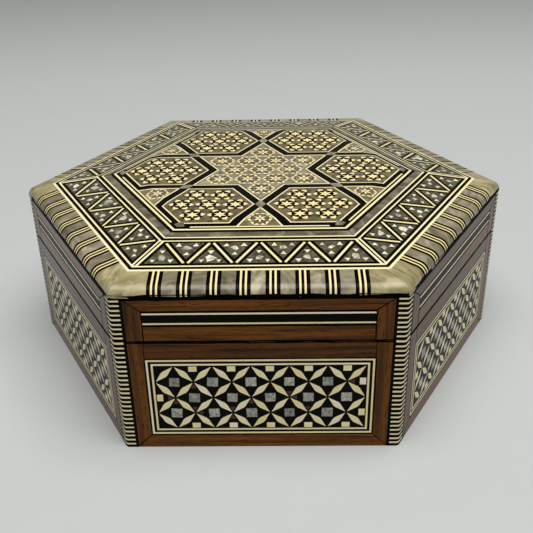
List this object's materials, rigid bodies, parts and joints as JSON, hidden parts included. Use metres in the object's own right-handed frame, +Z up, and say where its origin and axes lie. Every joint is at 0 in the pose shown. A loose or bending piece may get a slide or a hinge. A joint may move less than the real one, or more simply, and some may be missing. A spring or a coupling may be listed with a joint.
{
  "type": "inlaid wooden box",
  "caption": "Hexagonal wooden keepsake box with a hinged bevelled lid, faced with walnut, bone, ebony and mother-of-pearl in lattice and star patterns, lined with velvet.",
  "frame": {"origin": "centre of the underside", "axes": "+Z up, -Y out of the front side, the hinges at +Y, +X through a corner"},
  "size_m": [0.2, 0.1772, 0.0744],
  "materials": {
    "carcass_wood": "plain sawn boards, waxed",
    "walnut": "lacquered walnut",
    "mastic": "black mastic, polished level",
    "ebony": "polished black wood",
    "bone": "polished bone",
    "grey_pearl": "polished grey mother-of-pearl",
    "cream_pearl": "polished cream mother-of-pearl",
    "dark_pearl": "polished dark shell mosaic",
    "velvet": "deep red velvet",
    "brass": "polished brass"
  },
  "bodies": {
    "body": {"back_left_wall": "carcass_wood", "back_right_wall": "carcass_wood", "back_wall": "carcass_wood", "base_board": "carcass_wood", "body_bottom_rails": "walnut", "body_corner_posts": "ebony", "body_post_lines": "ebony", "body_stiles": "walnut", "body_top_rails": "walnut", "floor_lining": "velvet", "front_left_wall": "carcass_wood", "front_right_wall": "carcass_wood", "front_wall": "carcass_wood", "hinge_body_leaves": "brass", "hinge_pins": "brass", "panel_bone_chips": "bone", "panel_grounds": "mastic", "panel_inner_lines": "bone", "panel_outer_lines": "bone", "panel_pearl_squares": "grey_pearl", "panel_petals": "bone", "wall_lining": "velvet"},
    "lid": {"bevel_bone_stringing": "bone", "bevel_ebony_stringing": "ebony", "crossband_corners": "cream_pearl", "crossband_pearl_tiles": "grey_pearl", "crossband_stripe_blocks": "ebony", "field_triangles": "dark_pearl", "hinge_lid_leaves": "brass", "inner_stringing_bone": "bone", "inner_stringing_ebony": "ebony", "lid_back_left_rim": "carcass_wood", "lid_back_right_rim": "carcass_wood", "lid_back_rim": "carcass_wood", "lid_board": "carcass_wood", "lid_bottom_rails": "walnut", "lid_corner_posts": "ebony", "lid_edge_lines": "ebony", "lid_front_left_rim": "carcass_wood", "lid_front_right_rim": "carcass_wood", "lid_front_rim": "carcass_wood", "lid_lining": "velvet", "lid_post_lines": "ebony", "lid_rim_lining": "velvet", "lid_side_bands": "mastic", "lid_side_lines": "bone", "lid_stiles": "walnut", "lid_top_rails": "walnut", "medallion_borders": "ebony", "medallion_grounds": "dark_pearl", "medallion_inner_lines": "bone", "medallion_outer_lines": "bone", "mitre_bone_lines": "bone", "mitre_ebony_lines": "ebony", "pearl_band": "grey_pearl", "pearl_rhombi": "grey_pearl", "star_ground": "dark_pearl", "zigzag_lines": "bone", "zigzag_triangles": "dark_pearl"}
  },
  "joints": [
    {"name": "lid_hinge", "type": "hinge", "parent": "body", "child": "lid", "pos_m": [0, 0.0888, 0.04665], "axis": [-1, 0, 0], "range_deg": [0, 95]}
  ]
}
